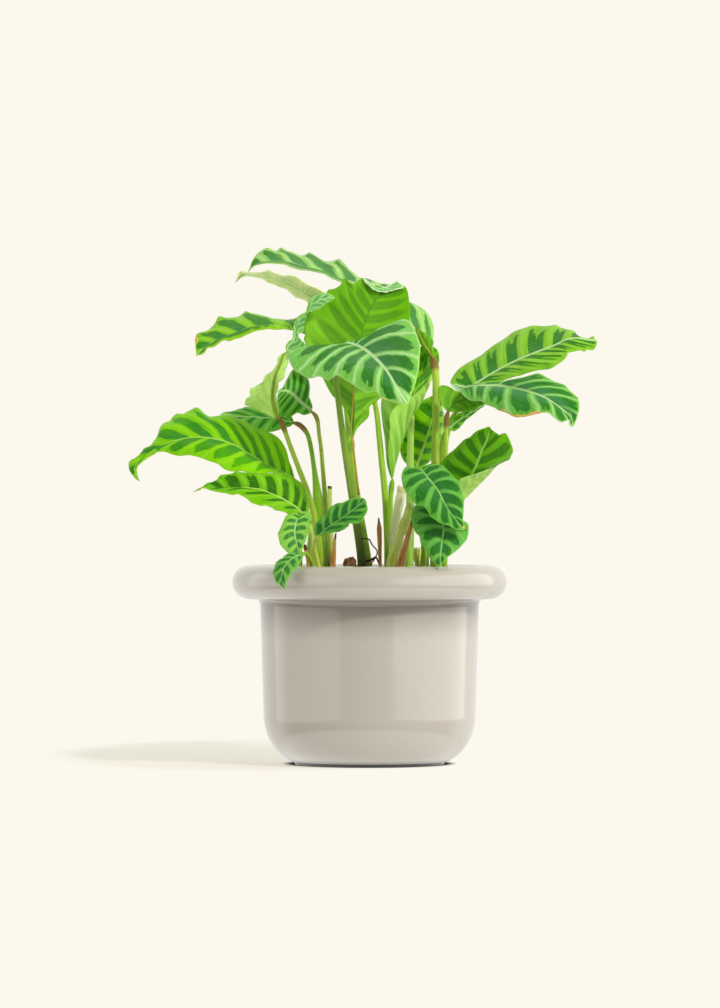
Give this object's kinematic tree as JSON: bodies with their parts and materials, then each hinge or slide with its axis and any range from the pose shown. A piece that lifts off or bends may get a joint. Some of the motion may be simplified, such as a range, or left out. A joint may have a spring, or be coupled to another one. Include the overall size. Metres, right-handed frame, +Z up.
{
  "type": "potted calathea",
  "caption": "Zebra calathea with long striped leaves on upright stalks, growing from soil in a round glazed pot with a thick rolled rim.",
  "frame": {"origin": "centre of the pot's flat foot", "axes": "+Z up, -Y towards the viewer of the picture, +X to the viewer's right"},
  "size_m": [0.389, 0.2711, 0.4284],
  "materials": {
    "glazed_ceramic": "gloss",
    "potting_soil": "matte",
    "bark": "matte",
    "leaf_bright": "satin",
    "leaf_deep": "satin",
    "leaf_underside": "satin",
    "stalk": "satin",
    "pale_sheath": "matte",
    "dry_stalk": "matte"
  },
  "bodies": {
    "root": {"pot": "glazed_ceramic", "soil": "potting_soil", "bark_chip": "bark", "leaf_crown_arch": "leaf_bright", "leaf_back_left": "leaf_underside", "leaf_centre_back": "leaf_underside", "leaf_centre_front": "leaf_deep", "leaf_left_twisted": "leaf_underside", "leaf_left_upper": "leaf_bright", "leaf_left_broad": "leaf_bright", "leaf_left_low": "leaf_bright", "leaf_left_nodding": "leaf_deep", "leaf_over_rim": "leaf_deep", "leaf_small_front": "leaf_deep", "leaf_left_behind": "leaf_bright", "leaf_left_inner": "leaf_bright", "leaf_inner_folded": "leaf_underside", "leaf_inner_upright": "leaf_bright", "leaf_back_hidden": "leaf_bright", "leaf_right_upper": "leaf_bright", "leaf_right_drooping": "leaf_deep", "leaf_right_lobe": "leaf_underside", "leaf_right_narrow": "leaf_bright", "leaf_right_low": "leaf_bright", "leaf_front_right": "leaf_deep", "leaf_front_low": "leaf_deep", "stalk_crown_arch": "stalk", "stalk_back_left": "stalk", "stalk_centre_back": "stalk", "stalk_centre_front": "stalk", "stalk_left_twisted": "stalk", "stalk_left_upper": "stalk", "stalk_left_broad": "stalk", "stalk_left_low": "stalk", "stalk_left_nodding": "stalk", "stalk_over_rim": "stalk", "stalk_small_front": "stalk", "stalk_left_behind": "stalk", "stalk_left_inner": "stalk", "stalk_inner_folded": "stalk", "stalk_inner_upright": "stalk", "stalk_back_hidden": "stalk", "stalk_right_upper": "stalk", "stalk_right_drooping": "stalk", "stalk_right_lobe": "stalk", "stalk_right_narrow": "stalk", "stalk_right_low": "stalk", "stalk_front_right": "stalk", "stalk_front_low": "stalk", "sheath_stub_tall": "pale_sheath", "sheath_stub_leaning": "pale_sheath", "sheath_scrap_right": "pale_sheath", "cut_stub_left": "stalk", "dry_stalk_leaning": "dry_stalk", "dry_stub_pointed": "dry_stalk", "dry_sheath_left": "dry_stalk", "dry_scrap_left": "dry_stalk"}
  },
  "joints": []
}
